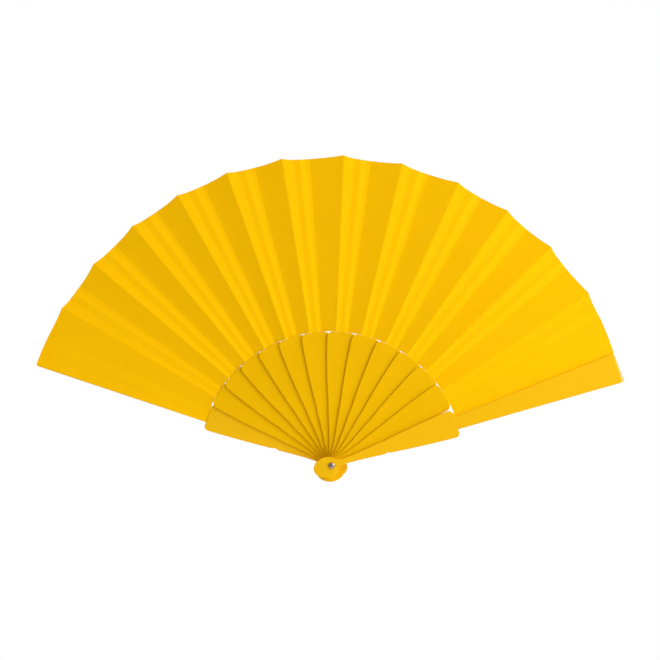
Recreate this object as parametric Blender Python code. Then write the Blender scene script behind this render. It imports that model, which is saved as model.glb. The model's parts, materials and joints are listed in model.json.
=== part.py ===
"""Folding hand fan: fourteen plastic sticks turning on one rivet, with a pleated fabric leaf.

Metres, +Z up. The origin is on the rivet's axis, halfway through the stack of sticks. The rivet
lies along Y and the fan's front faces -Y. The fan is open, spread in the XZ plane evenly to both
sides of +Z. Angles are in degrees, anticlockwise from +X as seen from the front.

A stick is drawn in its own plane, u along its centre line from the rivet and v across it.
"""

import math

import bmesh
import bpy
from mathutils import Vector
from mathutils.geometry import tessellate_polygon

# Opening: the angle between the centre lines of neighbouring sticks, from the back guard (left)
# to the front guard (right). The fan is spread by hand, so the gaps differ a little.
STICK_GAPS = (11.2, 10.0, 10.0, 10.0, 10.0, 10.5, 11.5, 11.0, 11.0, 10.5, 10.5, 11.0, 12.8)
FIRST_ANGLE = 90.0 + sum(STICK_GAPS) / 2
INNER_COUNT = len(STICK_GAPS) - 1

# Stack, from the back of each layer towards the front.
SLIP_THICKNESS = 0.00030
CLOTH_THICKNESS = 0.00012
LAYER_GAP = 0.00020
FOLD_LAYERS = 2 * (CLOTH_THICKNESS + LAYER_GAP)      # the glued facet and the free facet
STICK_PITCH = SLIP_THICKNESS + FOLD_LAYERS + LAYER_GAP
BLADE_THICKNESS = STICK_PITCH - 0.00025
GUARD_ARM_THICKNESS = 0.00110
GUARD_PITCH = GUARD_ARM_THICKNESS + FOLD_LAYERS + LAYER_GAP
GUARD_THICKNESS = GUARD_PITCH - 0.00030
STACK_DEPTH = GUARD_PITCH + INNER_COUNT * STICK_PITCH + GUARD_THICKNESS
BACK_FACE = STACK_DEPTH / 2
FRONT_FACE = -STACK_DEPTH / 2

# Stick outline, along u and across v.
HEAD_HALF_WIDTH = 0.0067
HEAD_LENGTH_RADIUS = 0.0082
HEAD_CENTRE = -0.0038
GUARD_HEAD_HALF_WIDTH = 0.0069
GUARD_HEAD_LENGTH_RADIUS = 0.0088
HEAD_END_ANGLE = 35.0
NECK = (0.0120, 0.0021)
NECK_PULL = (0.0052, 0.0018)
WAIST_PULL = (0.0200, 0.0025)
WAIST = (0.0370, 0.0048)
GUARD_WAIST = (0.0370, 0.0045)
NOTCH_LENGTH = 0.0048
NOTCH_DEPTH = 0.0007
NOTCH_STEP = 0.0003
SHOULDER = (0.0920, 0.0098)
GUARD_SHOULDER = (0.0910, 0.00955)
SIDE_FULLNESS = 0.5
GUARD_SIDE_FULLNESS = 0.25
SHOULDER_CORNER = 0.0040
GUARD_SHOULDER_CORNER = 0.0030

# Slips behind the leaf, and the arms of the two guards.
SLIP_ROOT_HALF_WIDTH = 0.0021
SLIP_TIP_HALF_WIDTH = 0.0016
SLIP_END = 0.2080
ARM_HALF_ANGLE = 2.84
BACK_ARM_END = 0.2136
FRONT_ARM_END = 0.2104
ARM_CORNER = 0.0010

# Leaf
LEAF_INNER = 0.0924
LEAF_OUTER = 0.2150
PLEAT_HALF_ANGLE = 2.70

# Rivet and washer
HOLE_RADIUS = 0.0019
SHANK_RADIUS = 0.0015
DOME_RADIUS = 0.00215
DOME_HEIGHT = 0.0012
DOME_RIM = 0.0003
TAIL_RADIUS = 0.0021
TAIL_HEIGHT = 0.0008
TAIL_TAPER = 0.75
WASHER_RADIUS = 0.0030
WASHER_THICKNESS = 0.0005
RIVET_GAP = 0.00025
CROWN_STEPS = 8

PLASTIC_YELLOW = (0.95, 0.62, 0.02)
CLOTH_YELLOW = (1.0, 0.66, 0.015)
STEEL = (0.72, 0.71, 0.70)


def clear_scene():
    """Remove whatever the start-up file holds."""
    for obj in list(bpy.data.objects):
        bpy.data.objects.remove(obj, do_unlink=True)


def principled(name, colour, roughness, metallic=0.0):
    """One Principled BSDF material."""
    material = bpy.data.materials.new(name)
    material.use_nodes = True
    shader = material.node_tree.nodes["Principled BSDF"]
    shader.inputs["Base Color"].default_value = (*colour, 1.0)
    shader.inputs["Roughness"].default_value = roughness
    shader.inputs["Metallic"].default_value = metallic
    return material


def add_object(name, bm, material, smooth=False):
    """Put a finished bmesh in the scene as one named object."""
    bmesh.ops.recalc_face_normals(bm, faces=bm.faces)
    mesh = bpy.data.meshes.new(name)
    bm.to_mesh(mesh)
    bm.free()
    if smooth:
        mesh.shade_smooth()
        mesh.set_sharp_from_angle(angle=math.radians(35))
    mesh.materials.append(material)
    obj = bpy.data.objects.new(name, mesh)
    bpy.context.collection.objects.link(obj)
    return obj


def arc(centre, radius_u, radius_v, start, end, steps):
    """Points on an ellipse's arc, ends included."""
    angles = [math.radians(start + (end - start) * i / steps) for i in range(steps + 1)]
    return [(centre[0] + radius_u * math.cos(a), centre[1] + radius_v * math.sin(a)) for a in angles]


def bend(start, pull, end, steps):
    """Points on a quadratic curve from start to end, without its start."""
    points = []
    for i in range(1, steps + 1):
        t = i / steps
        points.append(tuple((1 - t) ** 2 * a + 2 * t * (1 - t) * b + t * t * c
                            for a, b, c in zip(start, pull, end)))
    return points


def blade_side(is_guard):
    """The +v side of a blade, from the head's far end up to the shoulder's flat top."""
    head_u = GUARD_HEAD_LENGTH_RADIUS if is_guard else HEAD_LENGTH_RADIUS
    head_v = GUARD_HEAD_HALF_WIDTH if is_guard else HEAD_HALF_WIDTH
    waist = GUARD_WAIST if is_guard else WAIST
    shoulder = GUARD_SHOULDER if is_guard else SHOULDER
    fullness = GUARD_SIDE_FULLNESS if is_guard else SIDE_FULLNESS
    corner = GUARD_SHOULDER_CORNER if is_guard else SHOULDER_CORNER
    points = arc((HEAD_CENTRE, 0.0), head_u, head_v, 180.0, HEAD_END_ANGLE, 12)
    points += bend(points[-1], NECK_PULL, NECK, 4)
    points += bend(NECK, WAIST_PULL, waist, 4)
    notch_end = (waist[0] + NOTCH_LENGTH, waist[1] + NOTCH_STEP)
    notch_depth = NOTCH_DEPTH if is_guard else 0.0
    for i in range(1, 6):
        f = i / 6
        dip = notch_depth * math.sin(math.pi * f) ** 2
        points.append((waist[0] + NOTCH_LENGTH * f, waist[1] + NOTCH_STEP * f - dip))
    corner_start = shoulder[0] - corner
    for i in range(6):
        f = i / 5
        rise = (1 + fullness) * f - fullness * f * f
        points.append((notch_end[0] + (corner_start - notch_end[0]) * f,
                       notch_end[1] + (shoulder[1] - notch_end[1]) * rise))
    points += arc((corner_start, shoulder[1] - corner), corner, corner, 90.0, 0.0, 5)[1:]
    return points


def slip_side():
    """The +v side of a slip, from the shoulder to its rounded tip."""
    round_centre = (SLIP_END - SLIP_TIP_HALF_WIDTH, 0.0)
    tip = arc(round_centre, SLIP_TIP_HALF_WIDTH, SLIP_TIP_HALF_WIDTH, 90.0, 0.0, 3)
    return [(SHOULDER[0], SLIP_ROOT_HALF_WIDTH)] + tip


def arm_side(end):
    """The +v side of a guard's arm, which widens to a square-cut tip."""
    slope = math.tan(math.radians(ARM_HALF_ANGLE))
    corner_centre = (end - ARM_CORNER, end * slope - ARM_CORNER)
    tip = arc(corner_centre, ARM_CORNER, ARM_CORNER, 90.0, 0.0, 3)
    return [(GUARD_SHOULDER[0], GUARD_SHOULDER[0] * slope)] + tip


def circle(radius, steps=20):
    """Points of a full circle round the rivet's axis."""
    return arc((0.0, 0.0), radius, radius, 0.0, 360.0 * (steps - 1) / steps, steps - 1)


def stick_mesh(blade, arm, shared_y, step_y, far_y):
    """A blade with a hole for the rivet and a thinner slip or arm, as one closed body.

    Blade and arm share the face at shared_y. The arm ends at step_y and the blade at far_y.
    """
    blade_right = [(u, -v) for u, v in blade[1:]]
    arm_right = [(u, -v) for u, v in arm]
    arm_loop = arm_right + [p for p in reversed(arm) if p[1] > 1e-9]
    blade_loop = blade[:1] + blade_right + [arm_right[0], arm[0]] + list(reversed(blade[1:]))
    whole_loop = blade[:1] + blade_right + arm_loop + list(reversed(blade[1:]))
    hole = circle(HOLE_RADIUS)

    bm = bmesh.new()
    found = {}

    def vertex(point, y):
        key = (round(point[0], 9), round(point[1], 9), y)
        if key not in found:
            found[key] = bm.verts.new((point[0], y, point[1]))
        return found[key]

    def flat_face(loops, y):
        points = [p for loop in loops for p in loop]
        outlines = [[Vector((u, v, 0.0)) for u, v in loop] for loop in loops]
        for triangle in tessellate_polygon(outlines):
            bm.faces.new([vertex(points[i], y) for i in triangle])

    def wall(p, q, y0, y1, middle=None):
        corners = [vertex(p, y0), vertex(q, y0)]
        if middle is not None and q in (arm[0], arm_right[0]):
            corners.append(vertex(q, middle))
        corners += [vertex(q, y1), vertex(p, y1)]
        if middle is not None and p in (arm[0], arm_right[0]):
            corners.append(vertex(p, middle))
        bm.faces.new(corners)

    flat_face([whole_loop, hole], shared_y)
    flat_face([blade_loop, hole], far_y)
    flat_face([arm_loop], step_y)
    for p, q in zip(blade_loop, blade_loop[1:] + blade_loop[:1]):
        if {p, q} == {arm[0], arm_right[0]}:
            wall(p, q, step_y, far_y)
        else:
            wall(p, q, shared_y, far_y, middle=step_y)
    for p, q in zip(arm_loop, arm_loop[1:]):
        wall(p, q, shared_y, step_y)
    for p, q in zip(hole, hole[1:] + hole[:1]):
        wall(p, q, shared_y, far_y)
    return bm


def sector_mesh(half_angle, inner, outer, thickness, steps=6):
    """A flat sector of cloth, centred on +u, with its back at y = 0."""
    def ring(radius, y):
        angles = [math.radians(half_angle * (2 * i / steps - 1)) for i in range(steps + 1)]
        return [bm.verts.new((radius * math.cos(a), y, radius * math.sin(a))) for a in angles]

    bm = bmesh.new()
    back_in, back_out = ring(inner, 0.0), ring(outer, 0.0)
    front_in, front_out = ring(inner, -thickness), ring(outer, -thickness)
    strips = ((back_in, back_out), (back_out, front_out), (front_out, front_in), (front_in, back_in))
    for first, second in strips:
        for i in range(steps):
            bm.faces.new((first[i], first[i + 1], second[i + 1], second[i]))
    for end in (0, steps):
        bm.faces.new((back_in[end], back_out[end], front_out[end], front_in[end]))
    return bm


def turned_mesh(profile, steps=32):
    """A body turned round the rivet's axis from a profile of (radius, y) points."""
    bm = bmesh.new()
    verts = [bm.verts.new((r, y, 0.0)) for r, y in profile]
    edges = [bm.edges.new(pair) for pair in zip(verts, verts[1:])]
    if profile[0][0] > 0:
        edges.append(bm.edges.new((verts[-1], verts[0])))
    bmesh.ops.spin(bm, geom=verts + edges, cent=(0, 0, 0), axis=(0, 1, 0),
                   angle=math.tau, steps=steps, use_merge=True)
    bmesh.ops.remove_doubles(bm, verts=bm.verts, dist=1e-6)
    return bm


def layer_backs():
    """The y of each stick's back face, from the back guard to the front guard."""
    backs = [BACK_FACE]
    for i in range(INNER_COUNT + 1):
        backs.append(backs[-1] - (GUARD_PITCH if i == 0 else STICK_PITCH))
    return backs


def stick_angles():
    """The angle of each stick's centre line."""
    angles = [FIRST_ANGLE]
    for gap in STICK_GAPS:
        angles.append(angles[-1] - gap)
    return angles


def build_sticks():
    """Two guards and the inner sticks, each with its origin on the rivet's axis."""
    sticks = []
    backs, angles = layer_backs(), stick_angles()
    last = len(backs) - 1
    for i, (back, angle) in enumerate(zip(backs, angles)):
        if i == 0:
            name = "back_guard"
            arm = arm_side(BACK_ARM_END)
            bm = stick_mesh(blade_side(True), arm, 0.0, -GUARD_ARM_THICKNESS, -GUARD_THICKNESS)
        elif i == last:
            name = "front_guard"
            arm_back = -(CLOTH_THICKNESS + LAYER_GAP)
            bm = stick_mesh(blade_side(True), arm_side(FRONT_ARM_END), -GUARD_THICKNESS, arm_back, 0.0)
        else:
            name = f"stick_{i:02d}"
            bm = stick_mesh(blade_side(False), slip_side(), 0.0, -SLIP_THICKNESS, -BLADE_THICKNESS)
        obj = add_object(name, bm, principled(f"{name}_plastic", PLASTIC_YELLOW, 0.38))
        obj.location = (0.0, back, 0.0)
        obj.rotation_euler = (0.0, -math.radians(angle), 0.0)
        sticks.append(obj)
    return sticks


def build_leaf(sticks):
    """The leaf as flat facets: one glued to each stick, and one free between each two sticks."""
    last = len(sticks) - 1
    for i, stick in enumerate(sticks):
        carrier = {0: GUARD_ARM_THICKNESS + LAYER_GAP, last: 0.0}.get(i, SLIP_THICKNESS + LAYER_GAP)
        name = f"leaf_panel_{i:02d}"
        outer = FRONT_ARM_END if i == last else LEAF_OUTER
        bm = sector_mesh(PLEAT_HALF_ANGLE, LEAF_INNER, outer, CLOTH_THICKNESS)
        panel = add_object(name, bm, principled(f"{name}_cloth", CLOTH_YELLOW, 0.85))
        panel.parent = stick
        panel.location = (0.0, -carrier, 0.0)
        if i == last:
            continue
        name = f"leaf_web_{i:02d}"
        bm = sector_mesh(STICK_GAPS[i] / 2 - PLEAT_HALF_ANGLE, LEAF_INNER, LEAF_OUTER, CLOTH_THICKNESS)
        web = add_object(name, bm, principled(f"{name}_cloth", CLOTH_YELLOW, 0.85))
        web.parent = stick
        web.location = (0.0, -carrier - CLOTH_THICKNESS - LAYER_GAP, 0.0)
        web.rotation_euler = (0.0, math.radians(STICK_GAPS[i] / 2), 0.0)


def build_rivet():
    """The rivet with its domed front, its peened tail and the washer under the tail."""
    under_dome = FRONT_FACE - RIVET_GAP
    rim = under_dome - DOME_RIM
    crown = [(DOME_RADIUS * math.sin(a), rim - (DOME_HEIGHT - DOME_RIM) * math.cos(a))
             for a in (math.radians(90.0 * i / CROWN_STEPS) for i in range(CROWN_STEPS + 1))]
    washer_back = BACK_FACE + RIVET_GAP + WASHER_THICKNESS
    tail_front = washer_back + RIVET_GAP
    tail_side = tail_front + TAIL_HEIGHT / 2
    tail_end = tail_front + TAIL_HEIGHT
    tail_end_radius = TAIL_RADIUS * TAIL_TAPER
    profile = crown + [(DOME_RADIUS, under_dome), (SHANK_RADIUS, under_dome),
                       (SHANK_RADIUS, tail_front), (TAIL_RADIUS, tail_front),
                       (TAIL_RADIUS, tail_side), (tail_end_radius, tail_end), (0.0, tail_end)]
    add_object("rivet", turned_mesh(profile), principled("rivet_steel", STEEL, 0.22, 1.0), smooth=True)

    washer_front = washer_back - WASHER_THICKNESS
    washer = [(HOLE_RADIUS, washer_front), (WASHER_RADIUS, washer_front),
              (WASHER_RADIUS, washer_back), (HOLE_RADIUS, washer_back)]
    steel = principled("washer_steel", STEEL, 0.3, 1.0)
    add_object("rear_washer", turned_mesh(washer), steel, smooth=True)


def main():
    clear_scene()
    sticks = build_sticks()
    build_leaf(sticks)
    build_rivet()


main()
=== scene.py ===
"""Looks of the folding hand fan: plastic sticks turning on one rivet, and a pleated fabric leaf.

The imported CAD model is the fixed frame. The sticks, the rivet and its washer are rebuilt on the CAD
parts' own outlines with rounded edges. The leaf is rebuilt as thirteen pleats of thin cloth. Each
pleat is glued to one stick and bends across to the next one, so that the fan can fold.

Metres. The rivet lies along Y through the origin, the front faces -Y and +Z is the fan's middle.
Angles are in degrees, anticlockwise from +X as seen from the front. A stick is drawn in its own
plane, u along its centre line from the rivet and v across it.
"""

import json
import math
from collections import namedtuple

import bmesh
import bpy
from mathutils import Matrix, Vector

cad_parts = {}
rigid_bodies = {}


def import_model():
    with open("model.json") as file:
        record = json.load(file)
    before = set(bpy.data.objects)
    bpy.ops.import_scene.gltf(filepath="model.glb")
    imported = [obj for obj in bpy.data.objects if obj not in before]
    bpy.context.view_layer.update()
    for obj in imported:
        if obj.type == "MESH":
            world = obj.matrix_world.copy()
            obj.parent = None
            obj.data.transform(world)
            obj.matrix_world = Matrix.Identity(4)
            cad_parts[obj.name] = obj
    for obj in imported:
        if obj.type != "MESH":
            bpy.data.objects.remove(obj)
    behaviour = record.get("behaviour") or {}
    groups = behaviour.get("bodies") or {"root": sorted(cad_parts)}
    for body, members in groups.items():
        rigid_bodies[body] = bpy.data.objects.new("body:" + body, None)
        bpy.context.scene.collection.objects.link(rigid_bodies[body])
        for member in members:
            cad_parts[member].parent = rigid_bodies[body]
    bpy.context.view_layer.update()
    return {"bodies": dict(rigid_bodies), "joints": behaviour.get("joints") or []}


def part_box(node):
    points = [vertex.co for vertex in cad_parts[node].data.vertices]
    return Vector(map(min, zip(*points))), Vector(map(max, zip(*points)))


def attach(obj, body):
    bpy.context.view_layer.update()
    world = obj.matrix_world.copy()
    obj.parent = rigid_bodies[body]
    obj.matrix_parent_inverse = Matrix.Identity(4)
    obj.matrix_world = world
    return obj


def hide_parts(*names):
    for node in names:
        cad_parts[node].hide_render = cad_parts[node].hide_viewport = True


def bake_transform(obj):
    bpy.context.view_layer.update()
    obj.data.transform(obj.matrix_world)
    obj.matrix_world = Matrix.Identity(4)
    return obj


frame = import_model()

# The sticks, from the back guard at the left to the front guard at the right, and their angles.
# Each hinge closes by the angle between two neighbouring sticks.
STICKS = [b for b in frame["bodies"] if b.startswith("stick_") or b.endswith("_guard")]
STICK_GAPS = [j["range_deg"][1] for j in frame["joints"] if j["name"].endswith("_hinge")]
STICK_ANGLES = [90.0 + sum(STICK_GAPS) / 2 - sum(STICK_GAPS[:k]) for k in range(len(STICKS))]
LAST = len(STICKS) - 1
STICK_BACKS = [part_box(name)[1].y for name in STICKS]
STICK_FRONTS = [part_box(name)[0].y for name in STICKS]

# Stick outline, as in the CAD part
HEAD_HALF_WIDTH = 0.0067
HEAD_LENGTH_RADIUS = 0.0082
HEAD_CENTRE = -0.0038
GUARD_HEAD_HALF_WIDTH = 0.0069
GUARD_HEAD_LENGTH_RADIUS = 0.0088
HEAD_END_ANGLE = 35.0
NECK = (0.0120, 0.0021)
NECK_PULL = (0.0052, 0.0018)
WAIST_PULL = (0.0200, 0.0025)
WAIST = (0.0370, 0.0048)
GUARD_WAIST = (0.0370, 0.0045)
NOTCH_LENGTH = 0.0048
NOTCH_DEPTH = 0.0007
NOTCH_STEP = 0.0003
SHOULDER = (0.0920, 0.0098)
GUARD_SHOULDER = (0.0910, 0.00955)
SIDE_FULLNESS = 0.5
GUARD_SIDE_FULLNESS = 0.25
SHOULDER_CORNER = 0.0040
GUARD_SHOULDER_CORNER = 0.0030
SLIP_THICKNESS = 0.00030
SLIP_ROOT_HALF_WIDTH = 0.0021
SLIP_TIP_HALF_WIDTH = 0.0016
SLIP_END = 0.2080
GUARD_ARM_THICKNESS = 0.00110
GUARD_ARM_BACK_STEP = 0.00032
ARM_HALF_ANGLE = 2.84
BACK_ARM_END = 0.2136
FRONT_ARM_END = 0.2104
ARM_CORNER = 0.0010
HOLE_RADIUS = 0.0019
HOLE_STEPS = 48
HEAD_STEPS = 36
BEND_STEPS = 10
NOTCH_STEPS = 12
SIDE_STEPS = 16
CORNER_STEPS = 12
SLIP_TIP_STEPS = 8
ARM_CORNER_STEPS = 6

# Rounding of the moulded edges, and how much of it each kind of edge gets
EDGE_ROUND = 0.00026
FRONT_EDGE = 1.0
BACK_EDGE = 0.6
ARM_EDGE = 0.8
SLIP_EDGE = 0.35
EDGE_ANGLE = math.radians(35)
EDGE_SEGMENTS = 3

# Leaf
CLOTH_THICKNESS = 0.00016
GLUE_GAP = 0.00002
BLADE_CLEARANCE = 0.00003
FREE_INNER = 0.09222          # clears the blades' corners at every pose
GUARD_FREE_INNER = 0.09127    # clears only the guards' corners
BACK_INNER_STEP = (0.25, 0.42)      # the shares of the first free facet where one gives way to the other
FRONT_INNER_STEP = (0.80, 0.68)     # the same for the last one
RIDGE_RADIUS = 0.2157
VALLEY_RADIUS = 0.21365
ARC_CENTRE = (0.0005, -0.0015)       # the x and z of the centre of the leaf's arcs
BACK_END_RADII = (0.2143, 0.2139)    # at the leaf's end, and at the back guard's valley
FRONT_END_RADIUS = 0.2114
LEAF_END_SIDE = 2.72
LIP = 0.05                    # the share of a free facet, next to its ridge, that is cut with the next pleat
RELIEF = 0.00112
END_RELIEFS = {0: 0.0, 1: 0.0008, LAST - 1: 0.0006}
BELLY = 0.00010
GLUED_CUSP = 3.2
FREE_CUSP = 2.2
ROWS = 40

# The lines across a glued facet where its slope changes, from its ridge to its valley: how far to
# the side of the stick's centre line they run, and how high they stand as a share of the relief.
# The two lines between run beside the slip.
RIDGE_SIDE = 2.40
SLIP_LEFT_INSET = 0.18
SLIP_RIGHT_SIDE = 0.95
LOWER_BEND_SIDE = -2.05
VALLEY_SIDE = -3.00
LINE_HEIGHTS = (1.0, 0.0, 0.0, -0.72, -0.88)
ZONE_STEPS = (7, 4, 4, 4)
FREE_STEPS = (0.02, 0.08, 0.18, 0.3, 0.42, 0.54, 0.66, 0.76, 0.85, 0.93, 1.0)
RIDGE_CREASE_SHADE = 0.3             # how much of a valley's painted crease shade a ridge gets

# The leaf's last facet, behind the front guard's arm
TAIL_INNER = 0.0912
TAIL_INSET = 0.04
TAIL_LENGTHS = (0.0008, 0.0019)    # how far it reaches past the arm, at its upper and lower side
TAIL_EDGE = 0.0004
TAIL_STEPS = 10

# One line of points of a pleat, from the leaf's inner edge to its outer edge: place gives the angle and the
# y at a radius, follow is its share of the next stick's motion, fold and glued how much painted crease shade
# and painted slip shade it gets.
Column = namedtuple("Column", "place inner outer follow fold glued")

# Rivet and washer
SHANK_RADIUS = 0.0015
TAIL_RADIUS = 0.0021
HEAD_LIFT = 0.00012           # how far the head's underside stands off the front guard
DOME_EDGE = 0.00022           # how far the dome's widest part stands off the underside
DOME_STEPS = 20
RIM_CHAMFER = 0.00008
TAIL_CHAMFER = 0.0001
TAIL_STRAIGHT = 0.0004
TAIL_CROWN = ((0.9, 0.00015), (0.7, 0.0))    # shares of the tail's radius, and how far from its end
WASHER_CHAMFER = 0.0001

# Colours, gloss tints and surface textures. A texture's scale is in cycles per metre.
CLOTH_COLOUR = (0.98, 0.525, 0.0005)
PALE_CLOTH = (0.92, 0.58, 0.27)
STICK_COLOUR = (0.85, 0.462, 0.001)
GUARD_COLOUR = (0.86, 0.468, 0.002)
STICK_GLOSS = (1.0, 0.78, 0.04)
GUARD_GLOSS = (1.0, 0.80, 0.24)
STEEL_COLOUR = (0.33, 0.28, 0.29)
FLOOR_COLOUR = (0.92, 0.92, 0.91)
PLASTIC_ROUGHNESS = 0.42
PLASTIC_CLOUD_SCALE = 28.0
PLASTIC_GRAIN_SCALE = 2600.0
PLASTIC_MARK_SCALE = 420.0
PLASTIC_TONES = (0.94, 1.05)
PLASTIC_SMOOTHEST = 0.33
PLASTIC_ROUGHNESS_SPREAD = 0.16
PLASTIC_BUMP = (0.12, 0.00012)      # a bump's strength and its distance
PLASTIC_SPECULAR = 0.36
CLOTH_ROUGHNESS = 0.74
THREAD = 0.00036
SLUB_STRETCHES = ((2400.0, 70.0, 1.0), (70.0, 2400.0, 1.0))
SLUB_SEEDS = (3.0, 8.0)
CLOTH_CLOUD_SCALE = 34.0
CLOTH_CLOUD_SEED = 5.0
CLOTH_CLOUD_SHARE = 0.35
THREAD_TONES = (0.93, 1.06)
CLOUD_TONE = 0.93
# Painted shade: how dark the cloth is drawn along its creases
CREASE_SHADE_TONE = 0.80
# Painted shade: how dark the cloth is drawn where a slip lies behind it
SLIP_SHADE_TONE = 0.94
CLOTH_ROUGHEST = 0.82
WEAVE_ROUGHNESS_SPREAD = 0.14
CLOTH_BUMP = (0.35, 0.00005)
CLOTH_SHEEN = 0.12
CLOTH_SHEEN_ROUGHNESS = 0.5
CLOTH_SHEEN_TINT = (1.0, 0.72, 0.03)
CLOTH_SPECULAR = 0.2
CLOTH_SPECULAR_TINT = (1.0, 0.75, 0.06)
STEEL_ROUGHNESS = 0.16
STEEL_SMOOTHEST = 0.08
STEEL_ROUGHNESS_SPREAD = 0.14
TARNISH_SCALE = 900.0
SCRATCH_SCALE = 4200.0
SCRATCH_DISTORTION = 1.5
STEEL_TONES = (0.85, 1.1)
STEEL_BUMP = (0.1, 0.00003)
FLOOR_ROUGHNESS = 0.85
FLOOR_MOTTLE_SCALE = 6.0
FLOOR_TONES = (0.98, 1.02)

# Camera and light
CAMERA_TARGET = (-0.0030, 0.0, 0.0931)
CAMERA_DISTANCE = 1.0994
CAMERA_YAW = 3.73
CAMERA_PITCH = 0.0
CAMERA_ROLL = 1.53
CAMERA_LENS = 86.6
FILL_LEVEL = 0.58
FILL_SLANT = (0.36, 0.06, 0.16)
FILL_COLOUR = (1.0, 0.985, 0.94)
FLOOR_RADIUS = 0.78
FLOOR_HEIGHT = -0.32
FAN_MIDDLE = (0.0, 0.0, 0.08)
PIVOT = (0.0, 0.0, 0.0)
# Each light's name, place, target, side and power in watts
LIGHTS = (
    ("key", (0.86, -0.42, 0.47), FAN_MIDDLE, 0.95, 11.0),
    ("rim", (-1.10, -0.36, 0.40), FAN_MIDDLE, 0.6, 1.1),
    ("bounce", (0.34, -0.50, -0.42), PIVOT, 0.25, 1.6),
    ("back", (-0.75, 0.85, 0.50), FAN_MIDDLE, 0.7, 6.5),
)


def add_object(name, bm, material, smooth=True):
    """Put a finished bmesh in the scene as one named object."""
    bmesh.ops.recalc_face_normals(bm, faces=bm.faces)
    mesh = bpy.data.meshes.new(name)
    bm.to_mesh(mesh)
    bm.free()
    if smooth:
        mesh.shade_smooth()
    mesh.materials.append(material)
    obj = bpy.data.objects.new(name, mesh)
    bpy.context.scene.collection.objects.link(obj)
    return obj


# ---------------------------------------------------------------- materials

def new_material(name, colour, roughness, metallic=0.0):
    """A node material and its Principled shader."""
    material = bpy.data.materials.new(name)
    material.use_nodes = True
    tree = material.node_tree
    shader = tree.nodes["Principled BSDF"]
    shader.inputs["Base Color"].default_value = (*colour, 1.0)
    shader.inputs["Roughness"].default_value = roughness
    shader.inputs["Metallic"].default_value = metallic
    return material, shader


def node(tree, kind, **settings):
    """Add one node. Settings named like its inputs go to them, the others to its properties."""
    made = tree.nodes.new(kind)
    for key, value in settings.items():
        if hasattr(made, key):
            setattr(made, key, value)
        else:
            made.inputs[key.replace("_", " ")].default_value = value
    return made


def maths(tree, operation, first, second):
    """A Math node on two values, each a number or another node's output."""
    made = tree.nodes.new("ShaderNodeMath")
    made.operation = operation
    for socket, value in zip(made.inputs, (first, second)):
        if isinstance(value, (int, float)):
            socket.default_value = value
        else:
            tree.links.new(value, socket)
    return made.outputs[0]


def blend_colour(tree, factor, first, second):
    """Mix two colours, each a tuple or another node's output, by a factor."""
    made = tree.nodes.new("ShaderNodeMix")
    made.data_type = "RGBA"
    for name, value in (("Factor", factor), ("A", first), ("B", second)):
        kinds = ("VALUE",) if name == "Factor" else ("RGBA",)
        socket = next(s for s in made.inputs if s.name == name and s.type in kinds)
        if isinstance(value, tuple):
            socket.default_value = (*value, 1.0)
        elif isinstance(value, (int, float)):
            socket.default_value = value
        else:
            tree.links.new(value, socket)
    return next(s for s in made.outputs if s.type == "RGBA")


def scaled(value, factor):
    """A colour made lighter or darker."""
    return tuple(channel * factor for channel in value)


def bump(tree, shader, height, strength, distance):
    """Feed a height to the shader's normal."""
    made = node(tree, "ShaderNodeBump", Strength=strength, Distance=distance)
    tree.links.new(height, made.inputs["Height"])
    tree.links.new(made.outputs["Normal"], shader.inputs["Normal"])


def tones(colour, pair):
    """A colour's darker and lighter shade."""
    return scaled(colour, pair[0]), scaled(colour, pair[1])


def noise(tree, vector, scale, detail, **settings):
    """A Noise texture over a vector, as one value."""
    made = node(tree, "ShaderNodeTexNoise", Scale=scale, Detail=detail, **settings)
    tree.links.new(vector, made.inputs["Vector"])
    return made.outputs["Fac"]


def rising_roughness(tree, shader, value, spread, lowest):
    """Roughness that rises from its lowest value by a spread times another value."""
    rough = maths(tree, "MULTIPLY_ADD", value, spread)
    rough.node.inputs[2].default_value = lowest
    tree.links.new(rough, shader.inputs["Roughness"])


def plastic_material(name, colour, gloss_tint, seed):
    """Satin moulded plastic: fine grain, faint flow marks, and patches rubbed smoother."""
    material, shader = new_material(name, colour, PLASTIC_ROUGHNESS)
    tree = material.node_tree
    place = node(tree, "ShaderNodeTexCoord").outputs["Object"]
    seeded = {"noise_dimensions": "4D", "W": seed}
    clouds = noise(tree, place, PLASTIC_CLOUD_SCALE, 3.0, **seeded)
    grain = noise(tree, place, PLASTIC_GRAIN_SCALE, 2.0, **seeded)
    marks = noise(tree, place, PLASTIC_MARK_SCALE, 4.0, **seeded)
    tone = blend_colour(tree, clouds, *tones(colour, PLASTIC_TONES))
    tree.links.new(tone, shader.inputs["Base Color"])
    rising_roughness(tree, shader, marks, PLASTIC_ROUGHNESS_SPREAD, PLASTIC_SMOOTHEST)
    height = maths(tree, "ADD", grain, maths(tree, "MULTIPLY", marks, 2.0))
    bump(tree, shader, height, *PLASTIC_BUMP)
    shader.inputs["Specular IOR Level"].default_value = PLASTIC_SPECULAR
    shader.inputs["Specular Tint"].default_value = (*gloss_tint, 1.0)
    return material


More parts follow.
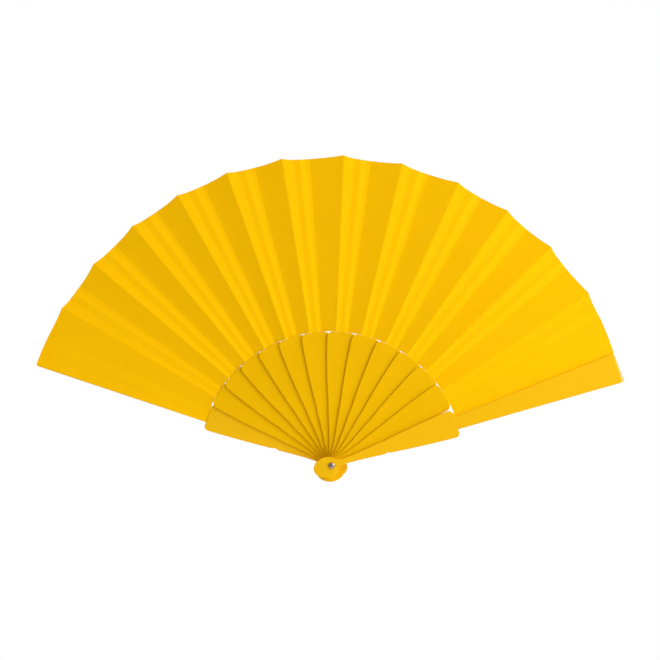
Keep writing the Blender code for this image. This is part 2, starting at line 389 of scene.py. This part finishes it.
def cloth_material(name, colour, pale_from=None):
    """Plain-woven polyester, with its threads along the flat cut, and painted shade along its creases and
    over the slips.

    Beyond the radius pale_from the cloth is drawn paler.
    """
    material, shader = new_material(name, colour, CLOTH_ROUGHNESS)
    tree = material.node_tree
    place = node(tree, "ShaderNodeUVMap", uv_map="cut")
    split = node(tree, "ShaderNodeSeparateXYZ")
    tree.links.new(place.outputs["UV"], split.inputs[0])
    turns = [maths(tree, "MULTIPLY", split.outputs[axis], math.pi / THREAD) for axis in (0, 1)]
    waves = [maths(tree, "SINE", turn, 0.0) for turn in turns]
    warp, weft = [maths(tree, "ABSOLUTE", wave, 0.0) for wave in waves]
    side = maths(tree, "MULTIPLY", *waves)
    over = maths(tree, "GREATER_THAN", side, 0.0)
    under = maths(tree, "SUBTRACT", 1.0, over)
    weave = maths(tree, "ADD", maths(tree, "MULTIPLY", warp, over), maths(tree, "MULTIPLY", weft, under))

    slubs = []
    for stretch, seed in zip(SLUB_STRETCHES, SLUB_SEEDS):
        mapping = node(tree, "ShaderNodeMapping", Scale=stretch)
        tree.links.new(place.outputs["UV"], mapping.inputs["Vector"])
        slubs.append(noise(tree, mapping.outputs["Vector"], 1.0, 1.0, noise_dimensions="4D", W=seed))
    thread_tone = maths(tree, "MULTIPLY", maths(tree, "ADD", slubs[0], slubs[1]), 0.5)
    clouds = noise(tree, place.outputs["UV"], CLOTH_CLOUD_SCALE, 3.0,
                   noise_dimensions="4D", W=CLOTH_CLOUD_SEED)

    tone = blend_colour(tree, thread_tone, *tones(colour, THREAD_TONES))
    # painted shade: darker along the creases and where a slip lies behind the cloth
    fold = node(tree, "ShaderNodeAttribute", attribute_name="crease_shade").outputs["Fac"]
    glued = node(tree, "ShaderNodeAttribute", attribute_name="glued").outputs["Fac"]
    for value, share, shade in ((clouds, CLOTH_CLOUD_SHARE, CLOUD_TONE), (fold, 0.5, CREASE_SHADE_TONE),
                                (glued, 0.5, SLIP_SHADE_TONE)):
        tone = blend_colour(tree, maths(tree, "MULTIPLY", value, share), tone, scaled(colour, shade))
    if pale_from is not None:
        radius = node(tree, "ShaderNodeVectorMath", operation="LENGTH")
        tree.links.new(place.outputs["UV"], radius.inputs[0])
        is_edge = maths(tree, "GREATER_THAN", radius.outputs["Value"], pale_from)
        tone = blend_colour(tree, is_edge, tone, PALE_CLOTH)
    tree.links.new(tone, shader.inputs["Base Color"])
    spread = maths(tree, "MULTIPLY", weave, WEAVE_ROUGHNESS_SPREAD)
    tree.links.new(maths(tree, "SUBTRACT", CLOTH_ROUGHEST, spread), shader.inputs["Roughness"])
    bump(tree, shader, maths(tree, "ADD", weave, thread_tone), *CLOTH_BUMP)
    shader.inputs["Sheen Weight"].default_value = CLOTH_SHEEN
    shader.inputs["Sheen Roughness"].default_value = CLOTH_SHEEN_ROUGHNESS
    shader.inputs["Sheen Tint"].default_value = (*CLOTH_SHEEN_TINT, 1.0)
    shader.inputs["Specular IOR Level"].default_value = CLOTH_SPECULAR
    shader.inputs["Specular Tint"].default_value = (*CLOTH_SPECULAR_TINT, 1.0)
    return material


def steel_material(name):
    """Polished steel with hair-fine scratches and slight tarnish."""
    material, shader = new_material(name, STEEL_COLOUR, STEEL_ROUGHNESS, 1.0)
    tree = material.node_tree
    place = node(tree, "ShaderNodeTexCoord").outputs["Object"]
    tarnish = noise(tree, place, TARNISH_SCALE, 3.0)
    scratches = noise(tree, place, SCRATCH_SCALE, 2.0, Distortion=SCRATCH_DISTORTION)
    tone = blend_colour(tree, tarnish, *tones(STEEL_COLOUR, STEEL_TONES))
    tree.links.new(tone, shader.inputs["Base Color"])
    rising_roughness(tree, shader, scratches, STEEL_ROUGHNESS_SPREAD, STEEL_SMOOTHEST)
    bump(tree, shader, scratches, *STEEL_BUMP)
    return material


def floor_material():
    """Pale matt floor with a faint mottle."""
    material, shader = new_material("studio_floor", FLOOR_COLOUR, FLOOR_ROUGHNESS)
    tree = material.node_tree
    place = node(tree, "ShaderNodeTexCoord").outputs["Object"]
    mottle = noise(tree, place, FLOOR_MOTTLE_SCALE, 4.0)
    tone = blend_colour(tree, mottle, *tones(FLOOR_COLOUR, FLOOR_TONES))
    tree.links.new(tone, shader.inputs["Base Color"])
    return material


# ---------------------------------------------------------------- sticks

def arc(centre, radius_u, radius_v, start, end, steps):
    """Points on an ellipse's arc, ends included."""
    angles = [math.radians(start + (end - start) * i / steps) for i in range(steps + 1)]
    return [(centre[0] + radius_u * math.cos(a), centre[1] + radius_v * math.sin(a)) for a in angles]


def bend(start, pull, end, steps):
    """Points on a quadratic curve from start to end, without its start."""
    points = []
    for i in range(1, steps + 1):
        t = i / steps
        points.append(tuple((1 - t) ** 2 * a + 2 * t * (1 - t) * b + t * t * c
                            for a, b, c in zip(start, pull, end)))
    return points


def blade_side(is_guard):
    """The +v side of a blade, from the head's far end up to the shoulder's flat top."""
    head_u = GUARD_HEAD_LENGTH_RADIUS if is_guard else HEAD_LENGTH_RADIUS
    head_v = GUARD_HEAD_HALF_WIDTH if is_guard else HEAD_HALF_WIDTH
    waist = GUARD_WAIST if is_guard else WAIST
    shoulder = GUARD_SHOULDER if is_guard else SHOULDER
    fullness = GUARD_SIDE_FULLNESS if is_guard else SIDE_FULLNESS
    corner = GUARD_SHOULDER_CORNER if is_guard else SHOULDER_CORNER
    points = arc((HEAD_CENTRE, 0.0), head_u, head_v, 180.0, HEAD_END_ANGLE, HEAD_STEPS)
    points += bend(points[-1], NECK_PULL, NECK, BEND_STEPS)
    points += bend(NECK, WAIST_PULL, waist, BEND_STEPS)
    notch_end = (waist[0] + NOTCH_LENGTH, waist[1] + NOTCH_STEP)
    notch_depth = NOTCH_DEPTH if is_guard else 0.0
    for i in range(1, NOTCH_STEPS):
        f = i / NOTCH_STEPS
        dip = notch_depth * math.sin(math.pi * f) ** 2
        points.append((waist[0] + NOTCH_LENGTH * f, waist[1] + NOTCH_STEP * f - dip))
    corner_start = shoulder[0] - corner
    for i in range(SIDE_STEPS + 1):
        f = i / SIDE_STEPS
        rise = (1 + fullness) * f - fullness * f * f
        points.append((notch_end[0] + (corner_start - notch_end[0]) * f,
                       notch_end[1] + (shoulder[1] - notch_end[1]) * rise))
    corner_centre = (corner_start, shoulder[1] - corner)
    points += arc(corner_centre, corner, corner, 90.0, 0.0, CORNER_STEPS)[1:]
    return points


def slip_side():
    """The +v side of a slip, from the shoulder to the middle of its rounded tip."""
    round_centre = (SLIP_END - SLIP_TIP_HALF_WIDTH, 0.0)
    tip = arc(round_centre, SLIP_TIP_HALF_WIDTH, SLIP_TIP_HALF_WIDTH, 90.0, 0.0, SLIP_TIP_STEPS)
    return [(SHOULDER[0], SLIP_ROOT_HALF_WIDTH)] + tip[:-1] + [(SLIP_END, 0.0)]


def arm_side(end):
    """The +v side of a guard's arm, from the shoulder to the middle of its square-cut tip."""
    slope = math.tan(math.radians(ARM_HALF_ANGLE))
    corner_centre = (end - ARM_CORNER, end * slope - ARM_CORNER)
    tip = arc(corner_centre, ARM_CORNER, ARM_CORNER, 90.0, 0.0, ARM_CORNER_STEPS)
    return [(GUARD_SHOULDER[0], GUARD_SHOULDER[0] * slope)] + tip + [(end, 0.0)]


def mirrored(side):
    """The -v side of an outline, from its far end back to its start, without points on the line."""
    return [(u, -v) for u, v in reversed(side) if v > 0.0]


def stick_mesh(blade, arm, arm_edge, shared_y, step_y, far_y):
    """A blade with a hole for the rivet and a thinner slip or arm, as one closed body.

    Blade and arm share the face at shared_y. The arm ends at step_y and the blade at far_y.
    Each rim edge gets a bevel weight for its kind, arm_edge on the arm.
    """
    blade[0] = (blade[0][0], 0.0)
    top = (arm[0][0], 0.0)
    half_hole = arc((0.0, 0.0), HOLE_RADIUS, HOLE_RADIUS, 0.0, 180.0, HOLE_STEPS // 2)
    half_hole[-1] = (-HOLE_RADIUS, 0.0)
    half_hole[0] = (HOLE_RADIUS, 0.0)
    bm = bmesh.new()
    weights = bm.edges.layers.float.new("bevel_weight_edge")
    found = {}

    def vertex(point, y):
        key = (round(point[0], 9), round(point[1], 9), y)
        if key not in found:
            found[key] = bm.verts.new((point[0], y, point[1]))
        return found[key]

    def face(points, y):
        bm.faces.new([vertex(p, y) for p in points])

    def walls(points, y0, y1):
        for p, q in zip(points, points[1:]):
            bm.faces.new((vertex(p, y0), vertex(q, y0), vertex(q, y1), vertex(p, y1)))

    for sign in (1.0, -1.0):
        def side(points, sign=sign):
            return [(u, sign * v if v else 0.0) for u, v in points]
        face(side(blade + arm + half_hole), shared_y)
        face(side(blade + [top] + half_hole), far_y)
        walls(side(blade), shared_y, far_y)
        walls(side(arm), shared_y, step_y)
        walls(side(half_hole), shared_y, far_y)
    face(arm + mirrored(arm), step_y)
    corner, root = blade[-1], arm[0]
    climb = ((corner, far_y), (corner, shared_y), (root, shared_y), (root, step_y))
    shoulder_wall = [vertex(point, y) for point, y in climb]
    shoulder_wall += [vertex((u, -v), y) for (u, v), y in reversed(climb)]
    bm.faces.new(shoulder_wall + [vertex(top, far_y)])
    bmesh.ops.recalc_face_normals(bm, faces=bm.faces)

    for edge in bm.edges:
        (a, b) = edge.verts
        if a.co.y != b.co.y or not edge.is_convex or edge.calc_face_angle() < EDGE_ANGLE:
            continue
        if max(a.co.x, b.co.x) > top[0] + 1e-6:
            edge[weights] = arm_edge
        elif math.hypot(a.co.x, a.co.z) < HOLE_RADIUS * 1.01:
            edge[weights] = SLIP_EDGE
        else:
            edge[weights] = FRONT_EDGE if a.co.y == min(shared_y, far_y) else BACK_EDGE
    return bm


def build_sticks():
    """The two guards and the inner sticks, each on its CAD node's place."""
    inner = plastic_material("stick_plastic", STICK_COLOUR, STICK_GLOSS, 1.0)
    guard = plastic_material("guard_plastic", GUARD_COLOUR, GUARD_GLOSS, 4.0)
    pieces = []
    for k, (name, angle) in enumerate(zip(STICKS, STICK_ANGLES)):
        depth = STICK_BACKS[k] - STICK_FRONTS[k]
        is_guard = k in (0, LAST)
        blade = blade_side(is_guard)
        if k == LAST:
            bm = stick_mesh(blade, arm_side(FRONT_ARM_END), ARM_EDGE, -depth, -GUARD_ARM_BACK_STEP, 0.0)
        elif k == 0:
            bm = stick_mesh(blade, arm_side(BACK_ARM_END), ARM_EDGE, 0.0, -GUARD_ARM_THICKNESS, -depth)
        else:
            bm = stick_mesh(blade, slip_side(), SLIP_EDGE, 0.0, -SLIP_THICKNESS, -depth)
        place = Matrix.Translation((0.0, STICK_BACKS[k], 0.0))
        turn = Matrix.Rotation(-math.radians(angle), 4, "Y")
        bmesh.ops.transform(bm, matrix=place @ turn, verts=bm.verts)
        piece = add_object(f"{name}_moulding", bm, guard if is_guard else inner)
        rounding = piece.modifiers.new("edge_rounding", "BEVEL")
        rounding.limit_method = "WEIGHT"
        rounding.width = EDGE_ROUND
        rounding.segments = EDGE_SEGMENTS
        rounding.use_clamp_overlap = False
        rounding.harden_normals = True
        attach(piece, name)
        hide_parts(name)
        pieces.append(piece)
    return pieces


# ---------------------------------------------------------------- leaf

def relief(k):
    """How far stick k's fold lines stand out of its plane at the leaf's outer edge."""
    return END_RELIEFS.get(k, RELIEF)


def cloth_front(k):
    """The y of the cloth's front where it lies on stick k."""
    if k == LAST:
        return STICK_BACKS[k] - GUARD_ARM_BACK_STEP + GLUE_GAP
    carrier = GUARD_ARM_THICKNESS if k == 0 else SLIP_THICKNESS
    return STICK_BACKS[k] - carrier - GLUE_GAP - CLOTH_THICKNESS


def slip_half_angle(radius):
    """Half the angle that a slip takes up at a radius."""
    share = (radius - SHOULDER[0]) / (SLIP_END - SHOULDER[0])
    width = SLIP_ROOT_HALF_WIDTH + (SLIP_TIP_HALF_WIDTH - SLIP_ROOT_HALF_WIDTH) * min(share, 1.0)
    return math.degrees(width / radius)


def line_sides(k, radius):
    """The sides of the lines across the facet glued to stick k, at a radius."""
    slip = slip_half_angle(radius)
    first = LEAF_END_SIDE if k == 0 else RIDGE_SIDE
    return first, slip - SLIP_LEFT_INSET, -max(slip, SLIP_RIGHT_SIDE), LOWER_BEND_SIDE, VALLEY_SIDE


def glued_point(k, line, radius):
    """A point of the facet glued to stick k, at a line's number or between two: its angle and y."""
    sides = line_sides(k, radius)
    i = min(int(line), len(sides) - 2)
    share = line - i
    side = sides[i] + (sides[i + 1] - sides[i]) * share
    height = LINE_HEIGHTS[i] + (LINE_HEIGHTS[i + 1] - LINE_HEIGHTS[i]) * share
    return STICK_ANGLES[k] + side, cloth_front(k) - relief(k) * height * radius / RIDGE_RADIUS


def free_point(k, share, radius):
    """A point of the facet between stick k (share 0) and the next stick's ridge (share 1)."""
    start_angle, start_y = glued_point(k, len(LINE_HEIGHTS) - 1, radius)
    if k + 1 == LAST:
        end_angle, end_y = STICK_ANGLES[LAST] + RIDGE_SIDE, cloth_front(LAST)
    else:
        end_angle, end_y = glued_point(k + 1, 0, radius)
    belly = BELLY * 4 * share * (1 - share) * radius / RIDGE_RADIUS
    return start_angle + (end_angle - start_angle) * share, start_y + (end_y - start_y) * share + belly


def edge_radius(angle, height, power):
    """The leaf's outer radius at an angle, from a valley (height 0) to a ridge (height 1)."""
    a = math.radians(angle)
    shift = ARC_CENTRE[0] * math.cos(a) + ARC_CENTRE[1] * math.sin(a)
    return VALLEY_RADIUS + shift + (RIDGE_RADIUS - VALLEY_RADIUS) * height ** power


def ramp(value, start, end):
    """0 before start, 1 after end, and even between them."""
    return min(max((value - start) / (end - start), 0.0), 1.0)


def glued_column(k, line):
    """A column of the facet glued to stick k."""
    sides = line_sides(k, VALLEY_RADIUS)
    side = glued_point(k, line, VALLEY_RADIUS)[0] - STICK_ANGLES[k]
    share = (side - VALLEY_SIDE) / (sides[0] - VALLEY_SIDE)
    if k == 0:
        outer = BACK_END_RADII[1] + (BACK_END_RADII[0] - BACK_END_RADII[1]) * share
        top, marks = GUARD_SHOULDER[0], {}
    else:
        outer = edge_radius(STICK_ANGLES[k], share, GLUED_CUSP)
        # painted crease shade: all of it along the valley's line, a share of it along the ridge's line
        top, marks = SHOULDER[0], {0: RIDGE_CREASE_SHADE, len(ZONE_STEPS): 1.0}
    inner = (top + BLADE_CLEARANCE) / math.cos(math.radians(side))
    # the cloth over the slip gets painted shade
    is_glued = 1.0 if 1 <= line <= 2 else 0.0
    return Column(lambda r: glued_point(k, line, r), inner, outer, 0.0, marks.get(line, 0.0), is_glued)


def free_column(k, share, follow):
    """A column of the facet between stick k and the next stick's ridge."""
    angle = free_point(k, share, VALLEY_RADIUS)[0]
    outer = edge_radius(angle, share, FREE_CUSP)
    inner = FREE_INNER
    if k == 0:
        outer += (BACK_END_RADII[1] - edge_radius(angle, 0.0, 1.0)) * (1.0 - share)
        inner = GUARD_FREE_INNER + (FREE_INNER - GUARD_FREE_INNER) * ramp(share, *BACK_INNER_STEP)
    elif k + 1 == LAST:
        outer = edge_radius(angle, 0.0, 1.0)
        outer += (FRONT_END_RADIUS - outer) * share
        inner = GUARD_FREE_INNER + (FREE_INNER - GUARD_FREE_INNER) * ramp(share, *FRONT_INNER_STEP)
    return Column(lambda r: free_point(k, share, r), inner, outer, follow, 0.0, 0.0)


def pleat_columns(k):
    """The columns of pleat k from left to right."""
    columns = [] if k == 0 else [free_column(k - 1, 1.0 - LIP * part, 0.0) for part in (1.0, 0.4)]
    lines = [zone + i / steps for zone, steps in enumerate(ZONE_STEPS) for i in range(steps)]
    columns += [glued_column(k, line) for line in lines + [len(ZONE_STEPS)]]
    columns += [free_column(k, (1.0 - LIP) * step, step) for step in FREE_STEPS]
    return columns


def pleat_mesh(columns):
    """A thin closed shell of cloth over the columns, with its flat cut as a UV map."""
    bm = bmesh.new()
    cut = bm.loops.layers.uv.new("cut")
    weight = bm.verts.layers.float.new("follow")
    # painted crease shade and painted slip shade, per point
    fold = bm.verts.layers.float.new("crease_shade")
    glued = bm.verts.layers.float.new("glued")
    layers, flat = ([], []), []
    flat_angle, previous, area = 0.0, None, 0.0
    for column in columns:
        grid = []
        for i in range(ROWS + 1):
            radius = column.inner + (column.outer - column.inner) * i / ROWS
            angle, y = column.place(radius)
            a = math.radians(angle)
            grid.append((radius, Vector((radius * math.cos(a), y, radius * math.sin(a)))))
        if previous is not None:
            gap = (grid[-1][1] - previous[-1][1]).length
            step = math.sqrt(max(gap ** 2 - (grid[-1][0] - previous[-1][0]) ** 2, 0.0)) / grid[-1][0]
            flat_angle += step
            area += step * (grid[-1][0] ** 2 - grid[0][0] ** 2) / 2
        flat.append([(r * math.sin(flat_angle), r * math.cos(flat_angle)) for r, _ in grid])
        for layer, shift in zip(layers, (0.0, CLOTH_THICKNESS)):
            verts = [bm.verts.new(point + Vector((0.0, shift, 0.0))) for _, point in grid]
            for vert in verts:
                vert[weight], vert[fold], vert[glued] = column.follow, column.fold, column.glued
            layer.append(verts)
        previous = grid

    def face(corners):
        made = bm.faces.new([layers[layer][c][r] for layer, c, r in corners])
        for loop, (_, c, r) in zip(made.loops, corners):
            loop[cut].uv = flat[c][r]
        return made

    last = len(columns) - 1
    for c in range(last):
        for layer in (0, 1):
            for r in range(ROWS):
                face([(layer, c, r), (layer, c + 1, r), (layer, c + 1, r + 1), (layer, c, r + 1)])
        for r in (0, ROWS):
            face([(0, c, r), (0, c + 1, r), (1, c + 1, r), (1, c, r)])
    for c in (0, last):
        for r in range(ROWS):
            face([(0, c, r), (0, c, r + 1), (1, c, r + 1), (1, c, r)])
    return bm, flat_angle, area


def build_leaf():
    """Thirteen pleats between the sticks."""
    cloth = cloth_material("leaf_cloth", CLOTH_COLOUR)
    for k in range(LAST):
        bm, angle, area = pleat_mesh(pleat_columns(k))
        piece = add_object(f"leaf_pleat_{k:02d}", bm, cloth)
        piece.data.set_sharp_from_angle(angle=math.radians(50))
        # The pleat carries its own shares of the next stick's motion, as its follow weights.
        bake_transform(piece)
        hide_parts(f"leaf_panel_{k:02d}", f"leaf_web_{k:02d}")


def tail_column(share):
    """A column of the leaf's last facet, which reaches past the arm's tip."""
    first, last = ARM_HALF_ANGLE - TAIL_INSET, TAIL_INSET - ARM_HALF_ANGLE
    side = first + (last - first) * share
    reach = TAIL_LENGTHS[0] + (TAIL_LENGTHS[1] - TAIL_LENGTHS[0]) * share
    outer = FRONT_ARM_END / math.cos(math.radians(side)) + reach
    depth = cloth_front(LAST) + GLUE_GAP
    return Column(lambda r: (STICK_ANGLES[LAST] + side, depth), TAIL_INNER, outer, 0.0, 0.0, 0.0)


def build_tail():
    """The leaf's last facet, glued behind the front guard's arm."""
    cloth = cloth_material("leaf_tail_cloth", CLOTH_COLOUR, pale_from=FRONT_ARM_END + TAIL_EDGE)
    bm, angle, area = pleat_mesh([tail_column(i / TAIL_STEPS) for i in range(TAIL_STEPS + 1)])
    piece = add_object("leaf_tail", bm, cloth)
    piece.data.set_sharp_from_angle(angle=math.radians(50))
    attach(piece, STICKS[LAST])
    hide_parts(f"leaf_panel_{LAST:02d}")


# ---------------------------------------------------------------- rivet

def turned_mesh(profile, steps=96):
    """A closed body turned round the rivet's axis from a profile of (radius, y) points."""
    bm = bmesh.new()
    verts = [bm.verts.new((r, y, 0.0)) for r, y in profile]
    edges = [bm.edges.new(pair) for pair in zip(verts, verts[1:])]
    if profile[0][0] > 0:
        edges.append(bm.edges.new((verts[-1], verts[0])))
    bmesh.ops.spin(bm, geom=verts + edges, cent=(0, 0, 0), axis=(0, 1, 0),
                   angle=math.tau, steps=steps, use_merge=True)
    bmesh.ops.remove_doubles(bm, verts=bm.verts, dist=1e-6)
    return bm


def build_rivet():
    """The polished rivet and the washer under its tail, inside their CAD nodes' boxes."""
    steel = steel_material("rivet_steel")
    low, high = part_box("rivet")
    washer_low, washer_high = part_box("rear_washer")
    front_face = STICK_FRONTS[LAST]
    dome = high.x
    rim = front_face - HEAD_LIFT
    widest = rim - DOME_EDGE
    turns = [math.radians(90.0 * i / DOME_STEPS) for i in range(DOME_STEPS + 1)]
    crown = [(dome * math.sin(a), widest - (widest - low.y) * math.cos(a)) for a in turns]
    skirt = [(dome, rim - RIM_CHAMFER), (dome - RIM_CHAMFER, rim)]
    tail_front = washer_high.y + TAIL_CHAMFER
    foot = [(SHANK_RADIUS, rim), (SHANK_RADIUS, tail_front), (TAIL_RADIUS - TAIL_CHAMFER, tail_front),
            (TAIL_RADIUS, tail_front + TAIL_CHAMFER), (TAIL_RADIUS, tail_front + TAIL_STRAIGHT)]
    foot += [(TAIL_RADIUS * share, high.y - step) for share, step in TAIL_CROWN]
    foot.append((0.0, high.y))
    rivet = add_object("rivet_polished", turned_mesh(crown + skirt + foot), steel)
    rivet.data.set_sharp_from_angle(angle=math.radians(40))
    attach(rivet, STICKS[0])
    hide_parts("rivet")

    inner, outer = HOLE_RADIUS, washer_high.x
    front, back = washer_low.y, washer_high.y
    washer_profile = [(inner, front), (outer - WASHER_CHAMFER, front), (outer, front + WASHER_CHAMFER),
                      (outer, back - WASHER_CHAMFER), (outer - WASHER_CHAMFER, back), (inner, back)]
    washer = add_object("rear_washer_polished", turned_mesh(washer_profile), steel)
    washer.data.set_sharp_from_angle(angle=math.radians(30))
    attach(washer, STICKS[0])
    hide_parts("rear_washer")


# ---------------------------------------------------------------- studio

def build_floor():
    """A round pale floor below the fan."""
    bm = bmesh.new()
    bmesh.ops.create_circle(bm, cap_ends=True, radius=FLOOR_RADIUS, segments=128)
    bmesh.ops.translate(bm, verts=bm.verts, vec=(0.0, 0.0, FLOOR_HEIGHT))
    floor = add_object("floor", bm, floor_material(), smooth=False)


def add_area(name, location, target, size, power):
    """One soft square white light that faces a target."""
    data = bpy.data.lights.new(name, "AREA")
    data.shape = "SQUARE"
    data.size = size
    data.energy = power
    light = bpy.data.objects.new(name, data)
    light.location = location
    light.visible_camera = False
    light.rotation_euler = (Vector(target) - Vector(location)).to_track_quat("-Z", "Y").to_euler()
    bpy.context.scene.collection.objects.link(light)


def build_world():
    """Plain white to look at. As light it is weaker, and falls off to the lower left."""
    world = bpy.data.worlds.new("studio")
    bpy.context.scene.world = world
    world.use_nodes = True
    tree = world.node_tree
    tree.nodes.clear()
    shown = node(tree, "ShaderNodeBackground", Color=(1.0, 1.0, 1.0, 1.0), Strength=1.0)
    fill = node(tree, "ShaderNodeBackground", Color=(*FILL_COLOUR, 1.0))
    place = node(tree, "ShaderNodeTexCoord")
    slant = node(tree, "ShaderNodeVectorMath", operation="DOT_PRODUCT")
    slant.inputs[1].default_value = FILL_SLANT
    tree.links.new(place.outputs["Generated"], slant.inputs[0])
    tree.links.new(maths(tree, "ADD", slant.outputs["Value"], FILL_LEVEL), fill.inputs["Strength"])
    path = node(tree, "ShaderNodeLightPath")
    mix = node(tree, "ShaderNodeMixShader")
    output = node(tree, "ShaderNodeOutputWorld")
    tree.links.new(path.outputs["Is Camera Ray"], mix.inputs[0])
    tree.links.new(fill.outputs[0], mix.inputs[1])
    tree.links.new(shown.outputs[0], mix.inputs[2])
    tree.links.new(mix.outputs[0], output.inputs[0])


def build_camera():
    """The camera in front of the fan, a little to its left, turned to look at its middle."""
    yaw, pitch, roll = (math.radians(a) for a in (CAMERA_YAW, CAMERA_PITCH, CAMERA_ROLL))
    forward = Vector((math.sin(yaw) * math.cos(pitch), math.cos(yaw) * math.cos(pitch), -math.sin(pitch)))
    right = Vector((math.cos(yaw), -math.sin(yaw), 0.0))
    up = right.cross(forward)
    right, up = math.cos(roll) * right + math.sin(roll) * up, math.cos(roll) * up - math.sin(roll) * right
    data = bpy.data.cameras.new("camera")
    data.lens = CAMERA_LENS
    data.clip_start = 0.01
    camera = bpy.data.objects.new("camera", data)
    position = Vector(CAMERA_TARGET) - forward * CAMERA_DISTANCE
    turn = Matrix((right, up, -forward)).transposed()
    camera.matrix_world = Matrix.Translation(position) @ turn.to_4x4()
    bpy.context.scene.collection.objects.link(camera)
    bpy.context.scene.camera = camera


def build_studio():
    """The floor, the world, the lights and the camera."""
    build_floor()
    build_world()
    for light in LIGHTS:
        add_area(*light)
    build_camera()
    bpy.context.scene.view_settings.view_transform = "Standard"


mouldings = build_sticks()
build_leaf()
build_tail()
build_rivet()
build_studio()
